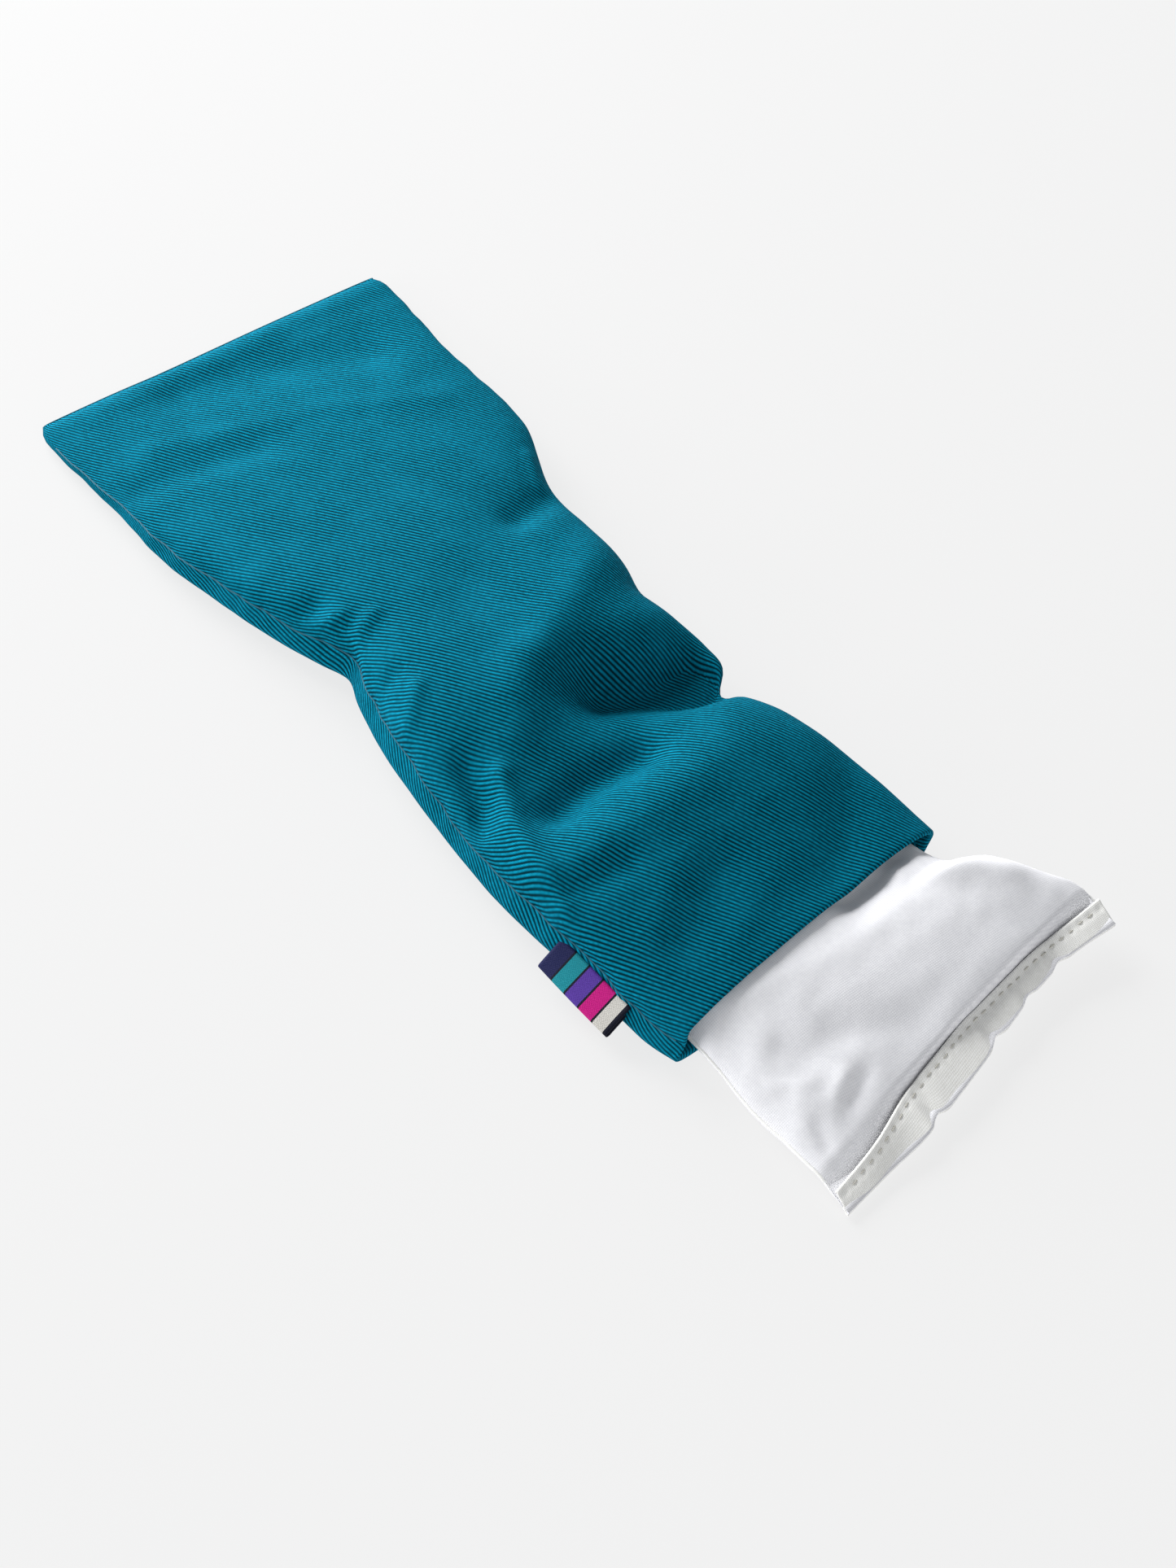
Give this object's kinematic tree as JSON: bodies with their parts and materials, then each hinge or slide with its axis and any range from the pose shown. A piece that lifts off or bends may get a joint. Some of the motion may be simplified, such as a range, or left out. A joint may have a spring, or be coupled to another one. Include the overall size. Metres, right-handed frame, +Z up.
{
  "type": "eye pillow",
  "caption": "Long flat eye pillow: a seed-filled white inner bag with a stitched closing hem, part way out of a teal twill sleeve cover with a small striped side label.",
  "frame": {"origin": "the middle of the cover's flat underside, on the surface the pillow lies on", "axes": "+X along the length towards the open mouth and the inner bag's closed end, +Y across the width away from the striped label, +Z up"},
  "size_m": [0.298, 0.106, 0.0265],
  "materials": {
    "cover_twill": "teal cotton twill with a fine diagonal rib, matt",
    "cover_facing": "turned-in edge of the teal twill, matt",
    "pale_thread": "pale overlock thread",
    "teal_thread": "teal sewing thread",
    "striped_ribbon": "woven ribbon in navy, teal, purple, magenta and off-white stripes, slight sheen",
    "bag_cotton": "fine white plain-weave cotton, matt",
    "hem_cotton": "the same white cotton, folded and pressed",
    "white_thread": "white sewing thread",
    "seeds": "loose brown seeds"
  },
  "bodies": {
    "cover": {"cover_top_panel": "cover_twill", "cover_bottom_panel": "cover_twill", "cover_top_facing": "cover_facing", "cover_bottom_facing": "cover_facing", "top_facing_overlock": "pale_thread", "bottom_facing_overlock": "pale_thread", "cover_left_seam_thread": "teal_thread", "cover_right_seam_thread": "teal_thread", "cover_end_seam_thread": "teal_thread"},
    "inner_bag": {"bag_top_panel": "bag_cotton", "bag_bottom_panel": "bag_cotton", "bag_left_seam_thread": "white_thread", "bag_right_seam_thread": "white_thread", "bag_end_seam_thread": "white_thread", "closure_hem": "hem_cotton", "closure_thread": "white_thread", "seed_filling": "seeds"},
    "label": {"striped_label": "striped_ribbon"}
  },
  "joints": [
    {"name": "bag_slide", "type": "slide", "parent": "cover", "child": "inner_bag", "axis": [1, 0, 0], "range_m": [-0.008, 0.19]},
    {"name": "label_flap", "type": "hinge", "parent": "cover", "child": "label", "pos_m": [0.1025, -0.04703, 0.0095], "axis": [-1, 0, 0], "range_deg": [-6, 100]}
  ]
}
